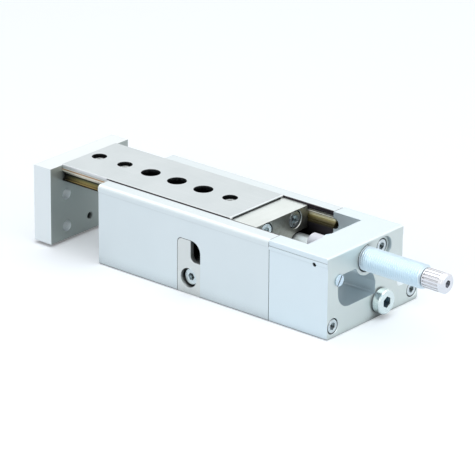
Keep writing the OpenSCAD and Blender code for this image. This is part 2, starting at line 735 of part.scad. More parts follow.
module piston_seals() color("#2B2B2B") for (x = piston_seal_x) difference() {
    bar_x(x_piston + x + 0.05, x_piston + x + 1.55, cyl_y, cyl_z, bore_d / 2 - 0.03);
    bar_x(x_piston, x_piston + piston_len, cyl_y, cyl_z, 4.22);
}

module piston_magnet() color("#4B4B50") difference() {
    bar_x(x_piston + 3.85, x_piston + 6.15, cyl_y, cyl_z, bore_d / 2 - 0.3);
    bar_x(x_piston, x_piston + piston_len, cyl_y, cyl_z, 4.22);
}

// ---- Ball guides ------------------------------------------------------------------------

function ball_x(i) = cage_x + (i - (ball_count - 1) / 2) * ball_pitch;

module ball_cage(s) color("#C2A15A") difference() {
    box(cage_x - cage_len / 2, cage_x + cage_len / 2, s * track_y - cage_t / 2,
        s * track_y + cage_t / 2, guide_z - cage_h / 2, guide_z + cage_h / 2);
    for (i = [0 : ball_count - 1]) bar_y(s * track_y - 1, s * track_y + 1, ball_x(i), guide_z,
        ball_d / 2 + 0.04);
}
module balls(s) color("#D9DCDE") for (i = [0 : ball_count - 1])
    translate([ball_x(i), s * track_y, guide_z]) sphere(d = ball_d, $fn = 32);

module ball_cage_near() ball_cage(-1);
module ball_cage_far() ball_cage(1);
module balls_near() balls(-1);
module balls_far() balls(1);

housing();
rear_cap();
rear_cap_screws();
absorber_lock_screw();
slotted_screw();
cap_set_screw();
guide_rail_near();
guide_rail_far();
rail_dowels();
rod_gland();
rod_seal();
gland_retaining_ring();
cylinder_end_plug();
end_plug_o_ring();
side_plate();
side_plate_screw();
stop_buffer();
absorber_body();
absorber_adjuster();
absorber_plunger();
absorber_bumper();
port_plug();
port_plug_seal();
slide_table();
stop_block();
stop_block_screws();
yoke_plate();
yoke_screws();
yoke_dowels();
piston_rod();
rod_screw();
piston();
piston_seals();
piston_magnet();
ball_cage_near();
balls_near();
ball_cage_far();
balls_far();
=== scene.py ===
# %% [markdown]
# # A pneumatic slide table, dressed for a product picture
#
# The solid parts are already made and packed. This lesson loads them as a fixed frame, gives every part the
# finish that its maker gave it, adds the screw threads that a CAD solid leaves out, and sets up a plain
# studio. All lengths are in metres, so a millimetre is written as `MM`.

# %% Load the solid parts
import json
import math

import bpy
import numpy as np
from mathutils import Matrix, Vector


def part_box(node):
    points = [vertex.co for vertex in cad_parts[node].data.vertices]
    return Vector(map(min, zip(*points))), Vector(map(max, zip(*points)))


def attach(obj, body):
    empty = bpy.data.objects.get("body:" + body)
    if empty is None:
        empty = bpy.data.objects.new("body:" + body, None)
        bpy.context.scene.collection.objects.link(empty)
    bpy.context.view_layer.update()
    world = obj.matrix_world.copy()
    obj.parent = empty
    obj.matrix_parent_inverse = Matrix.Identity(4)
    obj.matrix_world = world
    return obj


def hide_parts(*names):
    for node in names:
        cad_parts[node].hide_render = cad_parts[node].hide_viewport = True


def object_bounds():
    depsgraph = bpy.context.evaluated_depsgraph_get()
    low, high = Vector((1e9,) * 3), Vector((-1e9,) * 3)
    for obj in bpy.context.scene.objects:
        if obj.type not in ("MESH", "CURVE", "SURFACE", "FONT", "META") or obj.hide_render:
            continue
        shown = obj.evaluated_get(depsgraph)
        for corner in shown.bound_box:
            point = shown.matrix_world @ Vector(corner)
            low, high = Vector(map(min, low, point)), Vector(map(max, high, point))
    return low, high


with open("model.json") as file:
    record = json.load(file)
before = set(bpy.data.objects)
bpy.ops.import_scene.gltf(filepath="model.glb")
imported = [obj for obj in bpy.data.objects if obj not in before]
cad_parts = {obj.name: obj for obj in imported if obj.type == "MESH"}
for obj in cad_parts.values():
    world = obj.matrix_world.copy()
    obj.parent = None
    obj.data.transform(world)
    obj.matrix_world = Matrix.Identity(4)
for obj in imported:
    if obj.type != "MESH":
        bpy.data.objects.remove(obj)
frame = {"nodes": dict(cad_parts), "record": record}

MM = 0.001
cad_low, cad_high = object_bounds()
print("parts:", len(frame["nodes"]), " length in mm:", round((cad_high.x - cad_low.x) / MM, 1))

# %% [markdown]
# ## Colours
#
# A colour picked by eye or from a swatch is an sRGB value, but the shaders work with linear light. One
# function turns a hex value into the linear colour that a shader socket wants, and every colour below goes
# through it.

# %% Turn a hex value to linear light
def linear(hex_value):
    """Each sRGB channel c becomes c / 12.92 in the shadows, and ((c + 0.055) / 1.055) to the power 2.4
    above."""
    channels = [int(hex_value[i:i + 2], 16) / 255 for i in (1, 3, 5)]
    return [c / 12.92 if c <= 0.04045 else ((c + 0.055) / 1.055) ** 2.4 for c in channels] + [1.0]


print("mid grey in linear light:", round(linear("#808080")[0], 3))

# %% [markdown]
# ## A helper for shader nodes
#
# A material is a small graph. Writing each node takes the same three steps: make it, set its values and plug
# in what feeds it. One helper does the three, so each finish below reads as a list of what it is made of.

# %% Add one node with its settings and links
def add_node(tree, kind, inputs=None, **settings):
    """Makes a node of that kind. inputs gives each socket a value, or the output that feeds it."""
    node = tree.nodes.new(kind)
    for name, value in settings.items():
        setattr(node, name, value)
    for socket, value in (inputs or {}).items():
        if isinstance(value, bpy.types.NodeSocket):
            tree.links.new(value, node.inputs[socket])
        else:
            node.inputs[socket].default_value = value
    return node


def empty_material(name):
    """A new material with an empty graph, and its graph."""
    material = bpy.data.materials.new(name)
    material.use_nodes = True
    material.node_tree.nodes.clear()
    return material, material.node_tree


print("helpers: add_node for one node, empty_material for a new graph")

# %% [markdown]
# ## Shade in gaps and pockets
#
# Holes, slots and inner corners get painted shade: the colour itself is darkened where the part is closed in.
# That painted shade is what makes a bored hole read as black from a small distance. It could be painted hole by
# hole, but an Ambient Occlusion node finds all of them: it tells how closed in a point is, within a reach of
# some millimetres, and the finish is darkened by it.

# %% Darken a finish where the part is closed in
CREASE_REACH = 1.5 * MM


def with_shade(tree, tint, reach_mm=16.0, closed_at=0.12, open_at=0.7, darkest="#0C0D0E", crease=0.25):
    """Mixes the tint towards a dark colour as painted shade: fully where no sky is seen, a little in fine
    creases, and not at all in the open."""
    closed = add_node(tree, "ShaderNodeAmbientOcclusion", {"Distance": reach_mm * MM}, samples=12)
    closed_shade = add_node(tree, "ShaderNodeMapRange", {
        "Value": closed.outputs["AO"], "From Min": closed_at, "From Max": open_at,
        "To Min": 1.0, "To Max": 0.0}, interpolation_type="SMOOTHSTEP")
    near = add_node(tree, "ShaderNodeAmbientOcclusion", {"Distance": CREASE_REACH}, samples=8)
    line = add_node(tree, "ShaderNodeMapRange", {
        "Value": near.outputs["AO"], "From Min": 0.5, "From Max": 0.95, "To Min": crease, "To Max": 0.0})
    amount = add_node(tree, "ShaderNodeMath", {0: closed_shade.outputs["Result"], 1: line.outputs["Result"]},
                      operation="MAXIMUM")
    shaded = add_node(tree, "ShaderNodeMix", {
        "Factor": amount.outputs["Value"], "A": tint, "B": linear(darkest)}, data_type="RGBA")
    return shaded.outputs["Result"]


print("creases darken within", CREASE_REACH / MM, "mm")

# %% [markdown]
# ## Tints that depend on the place
#
# Some tints change across one piece: a hardened track is tempered to straw and brown, a rail's track gets bands
# of painted highlight and painted shade, and painted shade darkens a pocket's walls and a gap's edge while the
# open faces stay plain. Three helpers cover that. The first reads the height of a point and gives it the tint
# of its band. The second is a mask: it tells whether a coordinate, or the direction a face looks in, lies
# within a range. The third lays one tint over another where all its masks agree.

# %% Bands of tint, and masks by place
def band_tint(tree, height, stops):
    """A tint for each height. stops lists (height in mm, hex value), lowest first. Between two stops at
    heights a and b the tints blend by the share (height - a) / (b - a)."""
    low, high = stops[0][0], stops[-1][0]
    share = add_node(tree, "ShaderNodeMapRange", {"Value": height, "From Min": low * MM, "From Max": high * MM})
    ramp = add_node(tree, "ShaderNodeValToRGB", {"Fac": share.outputs["Result"]})
    points = ramp.color_ramp.elements
    for level, _ in stops[1:-1]:
        points.new((level - low) / (high - low))
    for point, (_, hex_value) in zip(points, stops):
        point.color = linear(hex_value)
    return ramp.outputs["Color"]


def within(tree, value, low, high, soft=0.1 * MM):
    """1 where the value lies between low and high, 0 outside, with a soft border of that width."""
    rise = add_node(tree, "ShaderNodeMapRange", {
        "Value": value, "From Min": low - soft, "From Max": low + soft})
    fall = add_node(tree, "ShaderNodeMapRange", {
        "Value": value, "From Min": high - soft, "From Max": high + soft, "To Min": 1.0, "To Max": 0.0})
    both = add_node(tree, "ShaderNodeMath", {0: rise.outputs["Result"], 1: fall.outputs["Result"]},
                    operation="MULTIPLY")
    return both.outputs["Value"]


def lay_over(tree, under, over, *masks):
    """Lays the tint over on the tint under. The product of the masks is its share."""
    share = masks[0]
    for mask in masks[1:]:
        share = add_node(tree, "ShaderNodeMath", {0: share, 1: mask}, operation="MULTIPLY").outputs["Value"]
    laid = add_node(tree, "ShaderNodeMix", {"Factor": share, "A": under, "B": over}, data_type="RGBA")
    return laid.outputs["Result"]


# Limits past any real coordinate (a metre) and any direction, for masks that are open on one side
FAR, LOOKS_OUT = 1.0, 2.0
print("place helpers: bands, masks and a coat")

# %% [markdown]
# ## Clear anodised aluminium
#
# The housing and the rear cap are cut from an aluminium extrusion, then glass-bead blasted and anodised clear.
# The blasting leaves a fine, even grit, and the oxide layer over it scatters light almost as paper does, so the
# part looks nearly white, with a soft sheen and no mirror image. A shader that is three quarters metallic, with
# a broad highlight, gives that. Two patterns keep it from being flat: a cloudy tint tens of millimetres wide,
# as the oxide has, and a grit bump. Real grit is about 0.1 mm across, too fine to show here, so it is drawn at
# 0.5 mm. A Bevel node catches the light on the broken edges, which are 0.3 mm wide on the real part. Milled
# ends came off another tool and are a little darker, and their tint is darkened further as painted shade; the
# bay's inner walls are darkened as painted shade too.

# %% Anodised aluminium
# Painted shade for the bay's inner walls
PAINTED_SHADE_ON_ALLOY = "#3D373C"


def anodised(name, tint, deep_tint, roughness=0.42, metallic=0.75, grit_mm=0.5, edge_mm=0.3, reach_mm=16.0,
             end_tint_and_shade=None, painted_shade_walls=None):
    """Blasted and anodised alloy: cloudy tint, grit bump and soft broken edges. The end tint goes on the milled
    ends that look along +X and is darker partly as painted shade. The last argument gives the inner walls that
    are darkened as painted shade: least |y|, most |y| and least z, in mm."""
    material, tree = empty_material(name)
    place = add_node(tree, "ShaderNodeTexCoord")
    cloud = add_node(tree, "ShaderNodeTexNoise", {
        "Vector": place.outputs["Object"], "Scale": 1 / (35 * MM), "Detail": 2.0})
    cloudy = add_node(tree, "ShaderNodeMix", {
        "Factor": cloud.outputs["Fac"], "A": linear(tint), "B": linear(deep_tint)}, data_type="RGBA")
    skin_tint = cloudy.outputs["Result"]
    if end_tint_and_shade or painted_shade_walls:
        facing = add_node(tree, "ShaderNodeSeparateXYZ", {"Vector": place.outputs["Normal"]})
    # Faces that look along +X get the end tint: partly a milled finish, partly painted shade
    if end_tint_and_shade:
        ends = within(tree, facing.outputs["X"], 0.7, LOOKS_OUT, 0.05)
        skin_tint = lay_over(tree, skin_tint, linear(end_tint_and_shade), ends)
    # Painted shade on the bay's inner walls, which lie in deep shadow
    if painted_shade_walls:
        inner, outer, floor_level = (limit * MM for limit in painted_shade_walls)
        point = add_node(tree, "ShaderNodeSeparateXYZ", {"Vector": place.outputs["Object"]})
        side = add_node(tree, "ShaderNodeMath", {0: point.outputs["Y"]}, operation="ABSOLUTE")
        walls = within(tree, side.outputs["Value"], inner, outer)
        upper = within(tree, point.outputs["Z"], floor_level, FAR)
        sideways = within(tree, facing.outputs["X"], -0.5, 0.5)
        skin_tint = lay_over(tree, skin_tint, linear(PAINTED_SHADE_ON_ALLOY), walls, upper, sideways)
    grit = add_node(tree, "ShaderNodeTexNoise", {
        "Vector": place.outputs["Object"], "Scale": 1 / (grit_mm * MM), "Detail": 1.0})
    edge = add_node(tree, "ShaderNodeBevel", {"Radius": edge_mm * MM}, samples=4)
    bump = add_node(tree, "ShaderNodeBump", {
        "Height": grit.outputs["Fac"], "Strength": 0.12, "Distance": 0.05 * MM,
        "Normal": edge.outputs["Normal"]})
    skin = add_node(tree, "ShaderNodeBsdfPrincipled", {
        "Base Color": with_shade(tree, skin_tint, reach_mm), "Metallic": metallic, "Roughness": roughness,
        "Normal": bump.outputs["Normal"]})
    add_node(tree, "ShaderNodeOutputMaterial", {"Surface": skin.outputs["BSDF"]})
    return material


# Nearly white with a soft sheen. The yoke is the palest outside, and its back is painted grey as shade, since
# the housing shades it.
body_alloy = anodised("clear_anodised_aluminium_body", "#E1E9EB", "#DAE3E6", painted_shade_walls=(23.2, 24.4, 14.0))
cap_alloy = anodised("clear_anodised_aluminium_cap", "#E1ECF1", "#DBE7EC", end_tint_and_shade="#D8E1DF", reach_mm=9.0)
yoke_alloy = anodised("clear_anodised_aluminium_yoke", "#EDF2F3", "#E6ECED", reach_mm=6.5, end_tint_and_shade="#AEB6B2")
# Milled only, so a little warmer and glossier than its blasted neighbours
plate_alloy = anodised("milled_aluminium_side_plate", "#DFE2E0", "#D8DCDA", roughness=0.38)
print("anodised finishes:", body_alloy.name, cap_alloy.name, yoke_alloy.name, plate_alloy.name)

# %% [markdown]
# ## Ground and milled steel
#
# The slide is hardened steel, ground flat on a wheel that runs along it. Grinding leaves hair lines in the
# direction of the travel, and it is these lines, not the steel's colour, that tell the eye how the face was
# made. A noise stretched a hundred times along one axis draws them. The real lines are a few hundredths of a
# millimetre apart, and are drawn 0.4 mm apart so that they show. The sides that face the rails were hardened,
# which left them straw and brown in bands.

# %% Steel with hair lines
# Painted shade for the slide's edge in the gap beside the housing
PAINTED_GAP_SHADE = "#141412"
STRETCH = 0.01
# From this height up, the slide's flanks are left without the painted shade of with_shade
UNSHADED_FROM = 45 * MM


def lined_steel(name, tint, deep_tint, roughness, line_mm=0.4, along="X", metallic=0.85, depth=0.12,
                edge_mm=0.25, shade=None, bands=None, edge_from=None, end_tint_and_shade=None, gap_shade=None):
    """Steel whose hair lines run along one axis: a noise stretched along it. shade is passed to with_shade.
    bands gives tints by height, where |y| is over edge_from. The end tint goes on faces that look along +X and
    is darker partly as painted shade. The last argument, which needs bands, is where painted shade darkens the
    edge in the gap beside the housing: least |y|, x and z."""
    material, tree = empty_material(name)
    place = add_node(tree, "ShaderNodeTexCoord")
    squeeze = add_node(tree, "ShaderNodeMapping", {
        "Vector": place.outputs["Object"], "Scale": [STRETCH if axis == along else 1.0 for axis in "XYZ"]})
    lines = add_node(tree, "ShaderNodeTexNoise", {
        "Vector": squeeze.outputs["Vector"], "Scale": 1 / (line_mm * MM), "Detail": 3.0})
    cloud = add_node(tree, "ShaderNodeTexNoise", {
        "Vector": place.outputs["Object"], "Scale": 1 / (18 * MM), "Detail": 3.0})
    both = add_node(tree, "ShaderNodeMath", {0: lines.outputs["Fac"], 1: cloud.outputs["Fac"]},
                    operation="MULTIPLY")
    spread = add_node(tree, "ShaderNodeMapRange", {
        "Value": both.outputs["Value"], "From Min": 0.12, "From Max": 0.42})
    lined = add_node(tree, "ShaderNodeMix", {
        "Factor": spread.outputs["Result"], "A": linear(deep_tint), "B": linear(tint)}, data_type="RGBA")
    skin_tint = lined.outputs["Result"]
    if bands:
        point = add_node(tree, "ShaderNodeSeparateXYZ", {"Vector": place.outputs["Object"]})
        side = add_node(tree, "ShaderNodeMath", {0: point.outputs["Y"]}, operation="ABSOLUTE")
        flanks = within(tree, side.outputs["Value"], edge_from * MM, FAR)
        below_top = within(tree, point.outputs["Z"], 0.0, (bands[-1][0] - 0.15) * MM)
        skin_tint = lay_over(tree, skin_tint, band_tint(tree, point.outputs["Z"], bands), flanks, below_top)
    # Painted shade: the slide's top edge in the gap beside the housing is darkened
    if gap_shade:
        edges = [within(tree, value, least * MM, FAR) for value, least in
                 zip((side.outputs["Value"], point.outputs["X"], point.outputs["Z"]), gap_shade)]
        skin_tint = lay_over(tree, skin_tint, linear(PAINTED_GAP_SHADE), *edges)
    if end_tint_and_shade:
        # A milled end is mottled, about a millimetre across, and its tint is darker partly as painted shade
        facing = add_node(tree, "ShaderNodeSeparateXYZ", {"Vector": place.outputs["Normal"]})
        ends = within(tree, facing.outputs["X"], 0.7, LOOKS_OUT, 0.05)
        mottle = add_node(tree, "ShaderNodeTexNoise", {
            "Vector": place.outputs["Object"], "Scale": 1 / (1.2 * MM), "Detail": 3.0})
        mottled = lay_over(tree, linear(end_tint_and_shade), linear(deep_tint), mottle.outputs["Fac"], 0.35)
        skin_tint = lay_over(tree, skin_tint, mottled, ends)
    shaded_tint = with_shade(tree, skin_tint, **(shade or {}))
    # On the flanks' upper edge the painted shade of with_shade is left out; the gap's painted shade stays
    if gap_shade:
        unshaded_top = within(tree, point.outputs["Z"], UNSHADED_FROM, FAR)
        shaded_tint = lay_over(tree, shaded_tint, skin_tint, flanks, unshaded_top)
    edge = add_node(tree, "ShaderNodeBevel", {"Radius": edge_mm * MM}, samples=4)
    bump = add_node(tree, "ShaderNodeBump", {
        "Height": lines.outputs["Fac"], "Strength": depth, "Distance": 0.04 * MM,
        "Normal": edge.outputs["Normal"]})
    skin = add_node(tree, "ShaderNodeBsdfPrincipled", {
        "Base Color": shaded_tint, "Metallic": metallic, "Roughness": roughness,
        "Normal": bump.outputs["Normal"]})
    add_node(tree, "ShaderNodeOutputMaterial", {"Surface": skin.outputs["BSDF"]})
    return material


# Tints of the slide's sides, from the bottom: brown edge, straw, olive, a dark band over the ball track, pale
# flank and brown groove
SLIDE_BANDS = [
    (39.0, "#5A4A2C"), (39.5, "#A8905A"), (41.0, "#8D8250"), (42.2, "#5E6042"), (42.6, "#343A2E"),
    (43.0, "#3E4438"), (43.5, "#D8D4C4"), (45.7, "#DAD4C6"), (46.0, "#A88055"), (46.4, "#A88055"),
    (46.7, "#D3D5D2"), (49.2, "#D2D5D8")]
# The rails are straw in the track. Over it lie painted shade at the bottom and in a thin line below the top,
# and a painted highlight across the track and along the top edge
RAIL_TINTS_AND_PAINTED_LIGHT = [
    (37.8, "#2A2517"), (40.6, "#5F5632"), (41.6, "#B5A870"), (41.9, "#FFF4C8"), (43.5, "#FFF6D2"),
    (43.7, "#332E1E"), (44.0, "#2E2A1C"), (44.15, "#FFFBEA"), (46.0, "#FFFBEA")]
# Silky grey with fine lines along the travel, and straw and brown on its hardened sides; strong painted shade
# makes its holes and the gap beside the housing dark
slide_steel = lined_steel(
    "surface_ground_steel_slide", "#D4DBDD", "#CBD3D5", roughness=0.36,
    shade={"closed_at": 0.45, "open_at": 0.92}, bands=SLIDE_BANDS, edge_from=21.1, gap_shade=(23.3, -66.0, 48.3))
# A cut thread has no grinding lines and shines less
thread_steel = lined_steel(
    "cut_steel_thread", "#C9CDCB", "#BABFBD", roughness=0.4, metallic=0.6, depth=0.03,
    shade={"reach_mm": 12.0, "open_at": 0.45, "crease": 0.0})
# Pale satin, milled across, with a dull mottled rear end, darkened as painted shade where it faces into the bay
block_steel = lined_steel(
    "milled_nickel_plated_steel_block", "#E8EEEC", "#DCE2DF", roughness=0.34, along="Y", line_mm=0.5,
    end_tint_and_shade="#7D7B71")
# A film of oil over ground steel reads as yellow brass in its track
rail_steel = lined_steel(
    "ground_oiled_bearing_steel_rail", "#F0E9C8", "#E6DDB8", roughness=0.28, metallic=0.2, line_mm=0.6,
    shade={"reach_mm": 2.0, "open_at": 0.25, "crease": 0.0}, bands=RAIL_TINTS_AND_PAINTED_LIGHT, edge_from=20.0)
# Hard chrome is nearly a mirror
rod_steel = lined_steel(
    "hard_chromed_steel_rod", "#DADFE2", "#D0D6DA", roughness=0.12, metallic=1.0, depth=0.03)
print("steel finishes:", slide_steel.name, block_steel.name, rail_steel.name, rod_steel.name)

# %% [markdown]
# ## Zinc plate, black oxide, brass and polished balls
#
# Screws, plug and shock absorber are steel with a thin zinc plate. Zinc grows as small crystals, so it is
# silky and a little cloudy instead of mirror bright, and the blue passivation over it gives a cold tint. The
# absorber's knurled adjuster is nickel plated, which is brighter.
# Turned parts differ from ground ones only in scale, so one function covers them: a tint, a cloudiness a
# few millimetres wide, and an uneven roughness, which shows as slightly broken highlights.

# %% Plated and turned metal
def plated(name, tint, deep_tint, roughness, cloud_mm=3.0, metallic=0.9, edge_mm=0.2, shade=None):
    """Plated or turned metal: cloudy tint and uneven gloss. shade is passed to with_shade."""
    material, tree = empty_material(name)
    place = add_node(tree, "ShaderNodeTexCoord")
    cloud = add_node(tree, "ShaderNodeTexNoise", {
        "Vector": place.outputs["Object"], "Scale": 1 / (cloud_mm * MM), "Detail": 4.0})
    cloudy = add_node(tree, "ShaderNodeMix", {
        "Factor": cloud.outputs["Fac"], "A": linear(deep_tint), "B": linear(tint)}, data_type="RGBA")
    gloss = add_node(tree, "ShaderNodeMapRange", {
        "Value": cloud.outputs["Fac"], "From Min": 0.3, "From Max": 0.7,
        "To Min": roughness * 0.85, "To Max": roughness * 1.2})
    edge = add_node(tree, "ShaderNodeBevel", {"Radius": edge_mm * MM}, samples=4)
    skin = add_node(tree, "ShaderNodeBsdfPrincipled", {
        "Base Color": with_shade(tree, cloudy.outputs["Result"], **(shade or {"reach_mm": 3.0})),
        "Metallic": metallic, "Roughness": gloss.outputs["Result"], "Normal": edge.outputs["Normal"]})
    add_node(tree, "ShaderNodeOutputMaterial", {"Surface": skin.outputs["BSDF"]})
    return material


# Cold, silky and a little cloudy; the fine thread scatters more light than a smooth face
zinc_blue = plated("blue_passivated_zinc_plate", "#DFF1FB", "#CFE4F2", roughness=0.24)
zinc_thread = plated(
    "blue_passivated_zinc_thread", "#E6F5FC", "#D9ECF7", roughness=0.34, metallic=0.5,
    shade={"reach_mm": 9.0, "open_at": 0.35, "crease": 0.0})
# Whiter than blue zinc; its socket is darkened to blue black as painted shade
zinc_clear = plated(
    "clear_passivated_zinc_plate", "#EFFAFA", "#DDEBEB", roughness=0.24,
    shade={"reach_mm": 6.0, "open_at": 0.8, "crease": 0.9, "darkest": "#1B4A60"})
# Painted shade darkens the ring round each head and its socket
zinc_screw = plated(
    "zinc_plated_screw_steel", "#E2EBEE", "#CDD8DB", roughness=0.26, shade={"reach_mm": 2.0, "crease": 0.9})
# Nickel is the brightest plate here, and painted shade in the knurls makes every knurl show
bright_nickel = plated(
    "bright_nickel_plate", "#F1F2F6", "#E8EAF0", roughness=0.16, metallic=0.95,
    shade={"reach_mm": 2.0, "crease": 0.5})
# Oxide hides most of the metal: dark and satin
black_oxide = plated("black_oxide_steel", "#4A4E52", "#3A3E42", roughness=0.4, metallic=0.6)
# Warm yellow metals with turned or stamped, broken highlights
turned_bronze = plated("turned_bronze", "#BC9456", "#A98146", roughness=0.3)
cage_brass = plated("stamped_brass", "#C9A862", "#B5924E", roughness=0.3)
# Lapped balls are mirrors
ball_steel = plated("polished_bearing_balls", "#DDE0E2", "#D6DADD", roughness=0.08, metallic=1.0)
piston_alloy = plated("turned_aluminium", "#C4C9CC", "#B3B9BD", roughness=0.3)
print("plated finishes:", zinc_blue.name, zinc_screw.name, black_oxide.name)

# %% [markdown]
# ## Rubber and plastic
#
# Seals and the stop buffer are nitrile rubber: black, matt and slightly dusty. The bumper in front of the
# shock absorber is white acetal, a hard slippery plastic, and the piston's magnet is ferrite powder bound in
# plastic. All are moulded, so they have no direction in their texture, only a fine grain.

# %% Moulded rubber and plastic
def moulded(name, tint, deep_tint, roughness, grain_mm, sheen=0.0):
    """A moulded plastic or rubber: even colour, fine grain, no metal."""
    material, tree = empty_material(name)
    place = add_node(tree, "ShaderNodeTexCoord")
    grain = add_node(tree, "ShaderNodeTexNoise", {
        "Vector": place.outputs["Object"], "Scale": 1 / (grain_mm * MM), "Detail": 3.0})
    grained = add_node(tree, "ShaderNodeMix", {
        "Factor": grain.outputs["Fac"], "A": linear(deep_tint), "B": linear(tint)}, data_type="RGBA")
    bump = add_node(tree, "ShaderNodeBump", {
        "Height": grain.outputs["Fac"], "Strength": 0.15, "Distance": 0.05 * MM})
    skin = add_node(tree, "ShaderNodeBsdfPrincipled", {
        "Base Color": grained.outputs["Result"], "Metallic": 0.0, "Roughness": roughness, "IOR": 1.5,
        "Sheen Weight": sheen, "Normal": bump.outputs["Normal"]})
    add_node(tree, "ShaderNodeOutputMaterial", {"Surface": skin.outputs["BSDF"]})
    return material


# Matt black with a dusty bloom at the edges
seal_rubber = moulded("nitrile_rubber", "#333436", "#262728", roughness=0.7, grain_mm=0.6, sheen=0.1)
# Dark grey and dull, like fired clay
magnet_black = moulded("plastic_bonded_ferrite", "#4F4F55", "#424247", roughness=0.55, grain_mm=0.5)
# Milky white with a soft gloss
bumper_white = moulded("white_acetal_bumper", "#E9E9EF", "#E1E1E8", roughness=0.35, grain_mm=1.5)
print("moulded finishes:", seal_rubber.name, magnet_black.name, bumper_white.name)

# %% [markdown]
# ## Dress the solid parts
#
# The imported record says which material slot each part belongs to. A table from slot to finish dresses nearly
# all of them, because parts that are made of the same stuff share a finish. Two parts differ from the rest of
# their slot and have a finish of their own.

# %% Give each part its finish
FINISHES = {
    "body_alloy": body_alloy, "cap_alloy": cap_alloy, "yoke_alloy": yoke_alloy, "plate_alloy": plate_alloy,
    "slide_steel": slide_steel, "block_steel": block_steel, "rail_steel": rail_steel, "rod_steel": rod_steel,
    "zinc_steel": zinc_blue, "screw_steel": zinc_screw, "dark_steel": black_oxide, "bronze": turned_bronze,
    "cage_brass": cage_brass, "ball_steel": ball_steel, "piston_alloy": piston_alloy,
    "seal_rubber": seal_rubber, "magnet_ferrite": magnet_black, "bumper_plastic": bumper_white,
}
OWN_FINISHES = {"absorber_adjuster": bright_nickel, "port_plug": zinc_clear}
slot_of = {part["node"]: part["material_slot"] for part in frame["record"]["subparts"]}
for part_name, part in frame["nodes"].items():
    for material_slot in part.material_slots:
        material_slot.material = OWN_FINISHES.get(part_name) or FINISHES[slot_of[part_name]]
print("dressed", len(slot_of), "parts in", len(FINISHES), "finishes")

# %% [markdown]
# ## Screw threads
#
# A CAD solid keeps a threaded tube or a tapped hole as a plain cylinder, because the thread would cost more
# than the rest of the part. Here it is drawn as one surface of two parameters: x runs along a profile and
# the turn t runs round it. The thread makes the radius depend on both, through the distance that a point is
# along the helix, `x / pitch - t`. Its fractional part is the place across one ridge.

# %% A turned skin with a thread
# A thread's depth in pitches. Its shape is given by w, which is 0 in the middle of the groove and 1 in the
# middle of the ridge: the flat top begins at TOP_FROM, and the flank below it is FLANK_WIDTH wide.
THREAD_DEPTH, TOP_FROM, FLANK_WIDTH = 0.61, 0.875, 0.625
ROWS_PER_TURN = 10


def thread_cut(x, turn, pitch):
    """Depth below the ridge of a 60 degree thread. With w = |2 frac(x / pitch - turn) - 1| it is
    0.61 pitch * clip((0.875 - w) / 0.625, 0, 1): flat for an eighth of the pitch on top and a quarter at
    the root."""
    w = np.abs(2 * ((x / pitch - turn) % 1.0) - 1)
    return THREAD_DEPTH * pitch * np.clip((TOP_FROM - w) / FLANK_WIDTH, 0, 1)


def turned_skin(name, rows, start, axis, material, body, pitch, inside=False, columns=64):
    """Turns rows of (x, r, threaded) about an axis A, with U and V square to it:
    P(x, t) = start + x A + r(x, t) (U cos 2 pi t + V sin 2 pi t). Where a row is threaded, r is its radius
    less thread_cut. With inside, the thread is cut into the hole's wall and fades out at both ends, and the
    rows form a ring that closes on itself. Without it, the first and last row are points on the axis."""
    x, radius, threaded = np.asarray(rows, dtype=float).T[..., None]
    turn = np.arange(columns) / columns
    cut = thread_cut(x, turn, pitch)
    if inside:
        ridge = radius - THREAD_DEPTH * pitch + cut
        lead_in = radius - np.minimum(x - x.min(), x.max() - x)
        wall = np.maximum(ridge, lead_in)
    else:
        wall = radius - cut
    radius = np.where(threaded > 0, wall, radius)
    a = np.array(axis, dtype=float)
    u = np.roll(a, 1)
    v = np.cross(a, u)
    spokes = np.cos(2 * np.pi * turn)[:, None] * u + np.sin(2 * np.pi * turn)[:, None] * v
    points = np.array(start) + x[..., None] * a + radius[..., None] * spokes

    # Squares between each ring of points and the next, and fans at the two ends of a closed skin
    rings = points if inside else points[1:-1]
    ring = np.arange(columns)
    after = np.roll(ring, -1)
    low = np.arange(len(rings))[:, None] * columns
    high = np.roll(low, -1, axis=0)
    squares = np.stack([low + ring, low + after, high + after, high + ring], axis=-1)
    if inside:
        faces = squares.reshape(-1, 4).tolist()
        corners = rings.reshape(-1, 3)
    else:
        first = len(rings) * columns
        end_ring = first - columns
        front_fan = np.stack([np.full(columns, first), after, ring], axis=-1)
        rear_fan = np.stack([ring + end_ring, after + end_ring, np.full(columns, first + 1)], axis=-1)
        faces = squares[:-1].reshape(-1, 4).tolist() + front_fan.tolist() + rear_fan.tolist()
        corners = np.concatenate([rings.reshape(-1, 3), points[[0, -1], 0]])
    mesh = bpy.data.meshes.new(name)
    mesh.from_pydata(corners.tolist(), [], faces)
    mesh.polygons.foreach_set("use_smooth", np.ones(len(faces), dtype=bool))
    mesh.set_sharp_from_angle(angle=math.radians(25))
    mesh.materials.append(material)
    piece = bpy.data.objects.new(name, mesh)
    bpy.context.scene.collection.objects.link(piece)
    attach(piece, body)
    return piece


# Radius and pitch
M5, M6 = (2.5 * MM, 0.8 * MM), (3.0 * MM, 1.0 * MM)
print("an M6 thread is", round(thread_cut(np.array([M6[1] / 2]), 0.0, M6[1])[0] / MM, 2), "mm deep")

# %% [markdown]
# The shock absorber's tube has a thread along its whole outside, with which it is set in the rear cap. The
# profile starts on the axis, runs out through the bore and the pocket for the bumper, over the thread and
# back in at the rear, so the skin closes like the solid it stands for.

# %% The shock absorber's threaded tube
TUBE_PITCH = 1.5 * MM
tube_low, tube_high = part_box("absorber_body")
middle = (tube_low + tube_high) / 2
length = tube_high.x - tube_low.x
tube_r = (tube_high.z - tube_low.z) / 2
